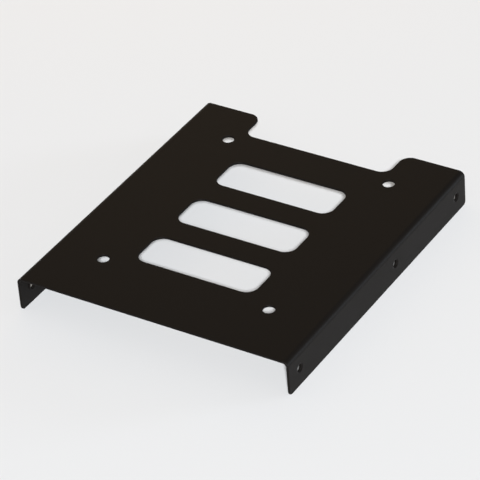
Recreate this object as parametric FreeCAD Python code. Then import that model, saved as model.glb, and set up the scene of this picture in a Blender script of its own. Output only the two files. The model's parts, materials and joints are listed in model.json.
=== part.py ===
import FreeCAD, Part
import math
import os

os.makedirs("parts", exist_ok=True)

# Drive bay adapter bracket: a small drive is screwed to the plate, and the two side
# flanges take the side screws of a bay made for the next larger drive. It is one piece,
# cut flat from thin steel sheet, folded down along both sides and coated.
# X runs across the bay, Y from the front edge to the notched rear edge, and Z up.
# The origin is the middle of the plane that the flanges' lower edges stand on.
# All sizes are in millimetres.

# Sheet and folds
sheet_thickness = 0.8
fold_inner_radius = 1.2

# Overall sizes, outside. The length follows from the side holes below.
bracket_width = 100.2
bracket_height = 12.7
flange_corner_radius = 1.5

# Four clearance holes for the small drive's M3 bottom screws
drive_spacing_across = 61.72
drive_spacing_along = 76.6
drive_hole_diameter = 4.0
drive_holes_behind_middle = 2.1

# Three 6-32 side screws in each flange, where the bay has its own holes. The holes are
# drawn at the outer diameter of the thread, because its ridges are too fine to draw.
bay_hole_span = 101.6
bay_middle_hole_from_front_hole = 60.33
bay_hole_height = 6.35
bay_hole_to_end = 6.5
bay_thread_diameter = 3.5

# Air slots across the plate
slot_count = 3
slot_width = 44.1
slot_length = 14.5
slot_spacing = 23.9
slot_corner_radius = 4.0
slots_ahead_of_middle = 0.8

# Notch in the rear edge, with the two nicks that the punch left in its straight side
notch_width = 55.4
notch_depth = 12.1
notch_corner_radius = 4.0
nick_spacing = 34.5
nick_radius = 0.9
nick_depth = 0.25

# Every cut edge of the sheet is broken by this much before it is coated
edge_break = 0.15

# How far a cutting shape reaches past the face that it goes through
cut_margin = 1.0

# Places that differ by less than this are the same place
same_place = 0.01

# Faces that turn by more than this many degrees meet at a sharp edge
sharp_turn = 45

fold_outer_radius = fold_inner_radius + sheet_thickness
bracket_length = bay_hole_span + 2 * bay_hole_to_end
half_width = bracket_width / 2
half_length = bracket_length / 2
notch_floor_y = half_length - notch_depth


def point(x, y, z):
    return FreeCAD.Vector(x, y, z)


def folded_section():
    """The sheet's section in the front plane: plate, folds and flanges as one closed face."""
    fold_x = half_width - fold_outer_radius
    fold_z = bracket_height - fold_outer_radius
    inner_x = half_width - sheet_thickness
    inner_z = bracket_height - sheet_thickness

    def line(x_from, z_from, x_to, z_to):
        return Part.makeLine(point(x_from, -half_length, z_from), point(x_to, -half_length, z_to))

    def fold_arc(side, radius):
        """Quarter circle about the fold's centre, through its middle at 45 degrees."""
        reach = radius * math.sqrt(0.5)
        return Part.Arc(
            point(side * (fold_x + radius), -half_length, fold_z),
            point(side * (fold_x + reach), -half_length, fold_z + reach),
            point(side * fold_x, -half_length, fold_z + radius),
        ).toShape()

    edges = [
        line(-fold_x, bracket_height, fold_x, bracket_height),
        line(-fold_x, inner_z, fold_x, inner_z),
    ]
    for side in (-1, 1):
        edges += [
            fold_arc(side, fold_outer_radius),
            fold_arc(side, fold_inner_radius),
            line(side * half_width, fold_z, side * half_width, 0),
            line(side * half_width, 0, side * inner_x, 0),
            line(side * inner_x, 0, side * inner_x, fold_z),
        ]
    return Part.Face(Part.Wire(Part.__sortEdges__(edges)))


def plate_window(width, length, centre_y, corner_radius):
    """Cutter for a rounded rectangle on the middle line, through the plate from above."""
    bottom = bracket_height - sheet_thickness - cut_margin
    height = sheet_thickness + 2 * cut_margin
    block = Part.makeBox(width, length, height, point(-width / 2, centre_y - length / 2, bottom))
    uprights = [edge for edge in block.Edges if edge.BoundBox.ZLength > height - same_place]
    return block.makeFillet(corner_radius, uprights)


def plate_hole(x, y, diameter):
    """Cutter for a round hole through the plate."""
    bottom = bracket_height - sheet_thickness - cut_margin
    return Part.makeCylinder(diameter / 2, sheet_thickness + 2 * cut_margin, point(x, y, bottom))


def drive_holes():
    return [
        plate_hole(
            side * drive_spacing_across / 2,
            drive_holes_behind_middle + end * drive_spacing_along / 2,
            drive_hole_diameter,
        )
        for side in (-1, 1)
        for end in (-1, 1)
    ]


def bay_holes():
    """Each cutter crosses the whole bracket, so that it makes a facing pair of holes."""
    return [
        Part.makeCylinder(
            bay_thread_diameter / 2,
            bracket_width + 2 * cut_margin,
            point(-half_width - cut_margin, distance - bay_hole_span / 2, bay_hole_height),
            point(1, 0, 0),
        )
        for distance in (0, bay_middle_hole_from_front_hole, bay_hole_span)
    ]


def air_slots():
    front_slot_y = -slots_ahead_of_middle - (slot_count - 1) * slot_spacing / 2
    return [
        plate_window(slot_width, slot_length, front_slot_y + index * slot_spacing, slot_corner_radius)
        for index in range(slot_count)
    ]


def rear_notch():
    """The cutter runs out past the rear edge, so that only the inner corners are round."""
    length = notch_depth + notch_corner_radius + cut_margin
    return plate_window(notch_width, length, notch_floor_y + length / 2, notch_corner_radius)


def punch_nicks():
    """Round cutters that only just reach into the notch's straight side."""
    centre_y = notch_floor_y + nick_radius - nick_depth
    return [plate_hole(side * nick_spacing / 2, centre_y, 2 * nick_radius) for side in (-1, 1)]


def flange_corners(shape):
    """The lower corners of the flanges, as the short edges that cross the sheet there."""
    across = [edge for edge in shape.Edges if abs(edge.Length - sheet_thickness) < same_place]
    return [edge for edge in across if abs(edge.BoundBox.Center.z) < same_place]


def mouth_corners(shape):
    """The two corners where the notch opens in the rear edge, as upright short edges."""
    upright = [edge for edge in shape.Edges if abs(edge.BoundBox.ZLength - sheet_thickness) < same_place]
    return [edge for edge in upright if abs(edge.BoundBox.Center.y - half_length) < same_place]


def sharp_edges(shape):
    """Edges where two faces meet at an angle, and not in a smooth run as at the folds."""
    found = []
    for edge in shape.Edges:
        middle = edge.valueAt((edge.FirstParameter + edge.LastParameter) / 2)
        normals = [
            face.normalAt(*face.Surface.parameter(middle))
            for face in shape.ancestorsOfType(edge, Part.Face)
        ]
        if len(normals) == 2 and normals[0].getAngle(normals[1]) > math.radians(sharp_turn):
            found.append(edge)
    return found


def bracket():
    sheet = folded_section().extrude(point(0, bracket_length, 0))
    sheet = sheet.makeFillet(flange_corner_radius, flange_corners(sheet))
    sheet = sheet.cut(rear_notch())
    sheet = sheet.makeFillet(notch_corner_radius, mouth_corners(sheet))
    sheet = sheet.cut(air_slots() + drive_holes() + bay_holes())
    sheet = sheet.makeChamfer(edge_break, sharp_edges(sheet))
    return sheet.cut(punch_nicks())


shape = bracket()
print("valid", shape.isValid(), "solids", len(shape.Solids), "faces", len(shape.Faces))
shape.Solids[0].exportStep("parts/bracket.step")
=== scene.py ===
import json
import math

import bpy
import numpy as np
from mathutils import Matrix, Vector


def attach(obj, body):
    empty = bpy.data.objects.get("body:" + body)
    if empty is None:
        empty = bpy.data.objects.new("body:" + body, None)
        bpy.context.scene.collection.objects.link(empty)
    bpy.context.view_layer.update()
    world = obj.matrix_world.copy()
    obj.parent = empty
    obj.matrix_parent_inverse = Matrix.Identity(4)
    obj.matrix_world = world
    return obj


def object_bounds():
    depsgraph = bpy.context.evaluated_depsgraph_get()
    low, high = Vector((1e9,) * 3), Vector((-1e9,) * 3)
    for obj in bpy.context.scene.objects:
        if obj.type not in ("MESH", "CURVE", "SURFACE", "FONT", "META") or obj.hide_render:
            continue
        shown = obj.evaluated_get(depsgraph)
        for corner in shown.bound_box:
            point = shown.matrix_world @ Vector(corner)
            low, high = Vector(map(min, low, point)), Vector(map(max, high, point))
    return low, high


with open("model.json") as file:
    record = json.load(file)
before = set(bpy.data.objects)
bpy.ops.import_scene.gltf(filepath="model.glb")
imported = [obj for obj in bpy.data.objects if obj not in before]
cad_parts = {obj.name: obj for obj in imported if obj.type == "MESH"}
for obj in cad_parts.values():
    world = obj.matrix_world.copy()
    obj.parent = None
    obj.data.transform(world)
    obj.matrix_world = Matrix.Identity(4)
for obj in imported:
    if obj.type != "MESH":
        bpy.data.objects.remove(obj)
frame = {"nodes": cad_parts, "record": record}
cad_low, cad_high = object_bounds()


# The folded sheet. One piece of thin steel, cut flat, folded down along both sides and then
# powder coated black. The coat is matte, with a fine grain that only shows close up, and it
# rounds the cut edges a little. Colours here are linear, and sizes are in metres.
coat_dark = (0.0065, 0.0054, 0.0047, 1)
coat_light = (0.0083, 0.0070, 0.0061, 1)
coat_gloss_level = 0.067
coat_roughness = 0.48
cloud_size = 0.030
cloud_detail = 3
cloud_colour_share = 0.7
cloud_roughness_range = 0.10
peel_size = 0.0006
peel_detail = 2
peel_height = 0.000012
grain_size = 0.00014
grain_detail = 1
grain_height = 0.000004
grain_colour_share = 0.3
grain_roughness_range = 0.12
noise_middle = 0.5
edge_softness = 0.00012
edge_samples = 6

# A Mix node's sockets for colours, by number, because other sockets there share their names
mix_first = 6
mix_second = 7
mix_result = 2


class Output:
    """A shader node's output. Arithmetic on it adds Math nodes, and node() adds any other node."""

    def __init__(self, tree, socket=None):
        self.tree = tree
        self.socket = socket

    def node(self, kind, settings=(), inputs=(), output=0):
        """Adds a node: its settings are set first, then the values or links of its inputs. What
        comes back is the chosen output, or the node itself where it has no output."""
        made = self.tree.nodes.new(kind)
        for name, setting in dict(settings).items():
            setattr(made, name, setting)
        for name, given in dict(inputs).items():
            if isinstance(given, Output):
                self.tree.links.new(given.socket, made.inputs[name])
            else:
                made.inputs[name].default_value = given
        return Output(self.tree, made.outputs[output]) if made.outputs else made

    def math(self, operation, first, second):
        return self.node("ShaderNodeMath", {"operation": operation}, {0: first, 1: second})

    def __add__(self, other):
        return self.math("ADD", self, other)

    def __radd__(self, other):
        return self.math("ADD", other, self)

    def __sub__(self, other):
        return self.math("SUBTRACT", self, other)

    def __rsub__(self, other):
        return self.math("SUBTRACT", other, self)

    def __mul__(self, other):
        return self.math("MULTIPLY", self, other)

    def __rmul__(self, other):
        return self.math("MULTIPLY", other, self)


def fresh_material(name):
    """A material with an empty node tree, and an Output that adds nodes to it."""
    material = bpy.data.materials.new(name)
    material.use_nodes = True
    material.node_tree.nodes.clear()
    return material, Output(material.node_tree)


def mixed_colour(shader, share, first, second):
    """The first colour where the share is 0, the second where it is 1, and evenly between."""
    inputs = {"Factor": share, mix_first: first, mix_second: second}
    return shader.node("ShaderNodeMix", {"data_type": "RGBA"}, inputs, output=mix_result)


def powder_coat():
    """Cloudy colour over the part, orange peel and fine grain as bump, and softened edges."""
    material, shader = fresh_material("black_powder_coat")
    place = shader.node("ShaderNodeTexCoord", output="Object")

    def noise(size, detail):
        inputs = {"Vector": place, "Scale": 1 / size, "Detail": detail}
        return shader.node("ShaderNodeTexNoise", inputs=inputs)

    def bump(texture, height, normal):
        inputs = {"Height": texture, "Distance": height, "Normal": normal}
        return shader.node("ShaderNodeBump", inputs=inputs)

    clouds = noise(cloud_size, cloud_detail)
    peel = noise(peel_size, peel_detail)
    grain = noise(grain_size, grain_detail)
    patches = clouds * cloud_colour_share + grain * grain_colour_share
    roughness = (
        coat_roughness
        + (clouds - noise_middle) * cloud_roughness_range
        + (grain - noise_middle) * grain_roughness_range
    )
    edge = shader.node("ShaderNodeBevel", {"samples": edge_samples}, {"Radius": edge_softness})
    surface = shader.node(
        "ShaderNodeBsdfPrincipled",
        inputs={
            "Base Color": mixed_colour(shader, patches, coat_dark, coat_light),
            "Roughness": roughness,
            "Specular IOR Level": coat_gloss_level,
            "Normal": bump(grain, grain_height, bump(peel, peel_height, edge)),
        },
    )
    shader.node("ShaderNodeOutputMaterial", inputs={"Surface": surface})
    return material


black_coat = powder_coat()
sheet = frame["nodes"]["bracket"]
for slot in sheet.material_slots:
    slot.material = black_coat


# The tapped rims of the side holes. Each of the six holes is punched from outside, which raises
# a short collar of the same steel on the inner side, and then tapped with a 6-32 thread, so that
# it holds nearly one and a half turns. The coat runs over both.
sheet_thickness = 0.8e-3
inch = 25.4e-3
threads_per_inch = 32
thread_pitch = inch / threads_per_inch
thread_root_radius = 1.75e-3
thread_root_flat = thread_pitch / 8
thread_crest_radius = 1.32e-3
thread_flank_angle = math.radians(30)
thread_countersink = 0.05e-3
thread_set_back = 0.003e-3
thread_seat_radius = 2.0e-3
collar_height = 0.3e-3
collar_lip_radius = 0.1e-3
thread_steps_round = 144
thread_steps_along = 72
collar_lip_steps = 6

# How far round the hole the groove has come at the middle of the sheet, in turns
thread_start = 0.5

# Faces that meet at a larger angle than this keep a sharp edge between them
sharp_angle = math.radians(80)


def groove_radius(along, turn):
    """Radius of a 60 degree thread. The distance to the nearest groove's middle, less half of
    the flat there, sets how far the flank has come in from the root towards the crest."""
    pitches = along / thread_pitch - turn
    from_groove = np.abs(pitches - np.round(pitches)) * thread_pitch
    flank = (from_groove - thread_root_flat / 2) / math.tan(thread_flank_angle)
    return np.clip(thread_root_radius - flank, thread_crest_radius, thread_root_radius)


def countersink_radius(along, outer_end, inner_end):
    """Radius of a 45 degree cone at each end of the hole, which only breaks the crest's edge."""
    to_nearest_end = np.minimum(outer_end - along, along - inner_end)
    return thread_crest_radius + thread_countersink - to_nearest_end


def closed_surface(name, grid):
    """Mesh of a grid of points that closes on itself both ways, as a ring does: each face joins
    a point to the next one in its row, in its column and across."""
    rows, columns, _ = grid.shape
    here = np.arange(rows * columns).reshape(rows, columns)
    down = np.roll(here, -1, axis=0)
    corners = np.stack([here, down, np.roll(down, -1, axis=1), np.roll(here, -1, axis=1)], axis=-1)
    mesh = bpy.data.meshes.new(name)
    mesh.from_pydata(grid.reshape(-1, 3), [], corners.reshape(-1, 4))
    mesh.polygons.foreach_set("use_smooth", np.ones(rows * columns, dtype=bool))
    mesh.set_sharp_from_angle(angle=sharp_angle)
    mesh.update()
    return mesh


def thread_ring(name, centre, side):
    """Ring in one hole. Going round the hole is one parameter. The other goes along the tapped
    wall from the outer face to the collar's end, over its lip in a quarter circle, and back
    through the sheet at the seat's radius."""
    outer_end = sheet_thickness / 2 - thread_set_back
    inner_end = -sheet_thickness / 2 - collar_height
    angle = np.linspace(0, 2 * np.pi, thread_steps_round, endpoint=False)[:, None]
    along = np.linspace(outer_end, inner_end, thread_steps_along)[None, :]
    turn = angle / (2 * np.pi) + thread_start
    wall = np.maximum(groove_radius(along, turn), countersink_radius(along, outer_end, inner_end))
    bend = np.linspace(0, np.pi / 2, collar_lip_steps)[None, :]
    lip_radius = thread_seat_radius - collar_lip_radius * (1 - np.sin(bend))
    lip_reach = inner_end + collar_lip_radius * (1 - np.cos(bend))
    all_round = np.ones_like(angle)
    radius = np.concatenate([all_round * thread_seat_radius, wall, all_round * lip_radius], axis=1)
    reach = np.concatenate([along[:, :1], along, lip_reach], axis=1)
    grid = np.stack(
        [
            centre.x + side * np.broadcast_to(reach, radius.shape),
            centre.y + side * radius * np.cos(angle),
            centre.z + radius * np.sin(angle),
        ],
        axis=-1,
    )
    return closed_surface(name, grid)


def side_hole_places():
    """Name, place on the outer face and side of each hole, from the mounts in the record."""
    millimetres_per_metre = 1000
    mounts = {mount["name"]: mount for mount in frame["record"]["mounts"]}
    for side_name, side in (("left", -1), ("right", 1)):
        ends = mounts[side_name + "_bay_end_screws"]
        half_span = ends["dims"]["spacing_x_mm"] / millimetres_per_metre / 2
        outer_face, row_middle, height = ends["pos_m"]
        places = {
            "front": row_middle - half_span,
            "middle": mounts[side_name + "_bay_middle_screw"]["pos_m"][1],
            "rear": row_middle + half_span,
        }
        for place_name, along_bay in places.items():
            yield f"thread_{side_name}_{place_name}", Vector((outer_face, along_bay, height)), side


scene = bpy.context.scene
for name, face_centre, side in side_hole_places():
    centre = face_centre - Vector((side * sheet_thickness / 2, 0, 0))
    thread = bpy.data.objects.new(name, thread_ring(name, centre, side))
    scene.collection.objects.link(thread)
    thread.data.materials.append(black_coat)
    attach(thread, "root")


# The floor. A wide, pale and matte sheet that the bracket stands on and casts its shadow on.
# To the camera and in reflections a share of its brightness is its own, so the shadow is faint.
floor_reach = 9.0
floor_colour = (0.82, 0.825, 0.83, 1)
floor_own_share = 0.20

floor_mesh = bpy.data.meshes.new("floor")
floor_mesh.from_pydata(
    [(x * floor_reach, y * floor_reach, 0) for x, y in ((-1, -1), (1, -1), (1, 1), (-1, 1))],
    [],
    [(0, 1, 2, 3)],
)
floor = bpy.data.objects.new("floor", floor_mesh)
scene.collection.objects.link(floor)
floor_material, floor_shader = fresh_material("pale_floor")
floor_seen = sum(
    floor_shader.node("ShaderNodeLightPath", output=ray)
    for ray in ("Is Camera Ray", "Is Glossy Ray", "Is Transmission Ray")
)
floor_surface = floor_shader.node(
    "ShaderNodeMixShader",
    inputs={
        0: floor_seen * floor_own_share,
        1: floor_shader.node("ShaderNodeBsdfDiffuse", inputs={"Color": floor_colour}),
        2: floor_shader.node("ShaderNodeEmission", inputs={"Color": floor_colour, "Strength": 1}),
    },
)
floor_shader.node("ShaderNodeOutputMaterial", inputs={"Surface": floor_surface})
floor_mesh.materials.append(floor_material)


# The light. A pale horizon that fades to a dim ceiling, and three soft boxes. The heights of
# the horizon and the ceiling are sines of their elevation.
horizon_colour = (0.70, 0.76, 0.84, 1)
horizon_top = 0.09
ceiling_colour = (0.18, 0.165, 0.15, 1)
ceiling_bottom = 0.20

world = bpy.data.worlds.new("studio")
scene.world = world
world.use_nodes = True
world.node_tree.nodes.clear()
sky = Output(world.node_tree)
direction_seen = sky.node("ShaderNodeTexCoord", output="Generated")
height = sky.node("ShaderNodeSeparateXYZ", inputs={"Vector": direction_seen}, output="Z")
fade = sky.node(
    "ShaderNodeMapRange",
    {"interpolation_type": "SMOOTHSTEP"},
    {"Value": height, "From Min": horizon_top, "From Max": ceiling_bottom},
)
sky_colour = mixed_colour(sky, fade, horizon_colour, ceiling_colour)
background = sky.node("ShaderNodeBackground", inputs={"Color": sky_colour, "Strength": 1})
sky.node("ShaderNodeOutputWorld", inputs={"Surface": background})


def towards(azimuth, elevation):
    """Unit vector from the bracket towards a lamp or camera. Azimuth 0 is straight ahead of the
    front edge and 90 is square to the right flange."""
    turn = math.radians(azimuth)
    rise = math.radians(elevation)
    flat = math.cos(rise)
    return Vector((math.sin(turn) * flat, -math.cos(turn) * flat, math.sin(rise)))


def soft_box(name, azimuth, elevation, distance, size, share, colour):
    """Square lamp that faces the bracket. Its share is how bright it alone shows a white floor
    there: power times the sine of its elevation, over pi squared times its distance squared."""
    direction = towards(azimuth, elevation)
    lamp_data = bpy.data.lights.new(name, "AREA")
    lamp_data.shape = "SQUARE"
    lamp_data.size = size
    lamp_data.color = colour
    lamp_data.energy = share * math.pi**2 * distance**2 / direction.z
    lamp = bpy.data.objects.new(name, lamp_data)
    lamp.location = direction * distance
    lamp.rotation_euler = direction.to_track_quat("Z", "Y").to_euler()
    lamp.visible_camera = False
    scene.collection.objects.link(lamp)


# The key stands beside the camera, so the bracket hides most of its own shadow.
soft_box(
    "key_box",
    azimuth=34.6,
    elevation=35.3,
    distance=7.0,
    size=0.40,
    share=0.825,
    colour=(0.965, 0.98, 1.0),
)

# A cool box, low on the right and a little behind, lights the right flange and its fold.
soft_box(
    "side_box",
    azimuth=130,
    elevation=7,
    distance=3.0,
    size=0.7,
    share=0.038,
    colour=(0.77, 0.88, 1.0),
)

# A small warm box close behind the rear left corner gives the plate its brown sheen.
soft_box(
    "warm_box",
    azimuth=217,
    elevation=21,
    distance=0.42,
    size=0.33,
    share=0.041,
    colour=(1.0, 0.66, 0.30),
)


# The camera. A long lens looks down on the bracket from ahead of its right corner, turned a
# little about its own axis.
lens_millimetres = 217.93
sensor_millimetres = 36
camera_azimuth = 34.075
camera_elevation = 35.09
camera_roll = math.radians(-4.803)
camera_distance = 0.93106
camera_sees_from = 0.01
camera_sees_to = 50
aim_point = Vector((0.003423, -0.008378, cad_high.z))

camera_data = bpy.data.cameras.new("camera")
camera_data.sensor_width = sensor_millimetres
camera_data.lens = lens_millimetres
camera_data.clip_start = camera_sees_from
camera_data.clip_end = camera_sees_to
camera = bpy.data.objects.new("camera", camera_data)
back = towards(camera_azimuth, camera_elevation)
level = Vector((0, 0, 1)).cross(back).normalized()
upright = back.cross(level)
right = level * math.cos(camera_roll) + upright * math.sin(camera_roll)
up = upright * math.cos(camera_roll) - level * math.sin(camera_roll)
turned = Matrix((right, up, back)).transposed().to_4x4()
camera.matrix_world = Matrix.Translation(aim_point + back * camera_distance) @ turned
scene.collection.objects.link(camera)
scene.camera = camera

scene.view_settings.view_transform = "Standard"

bpy.context.view_layer.update()
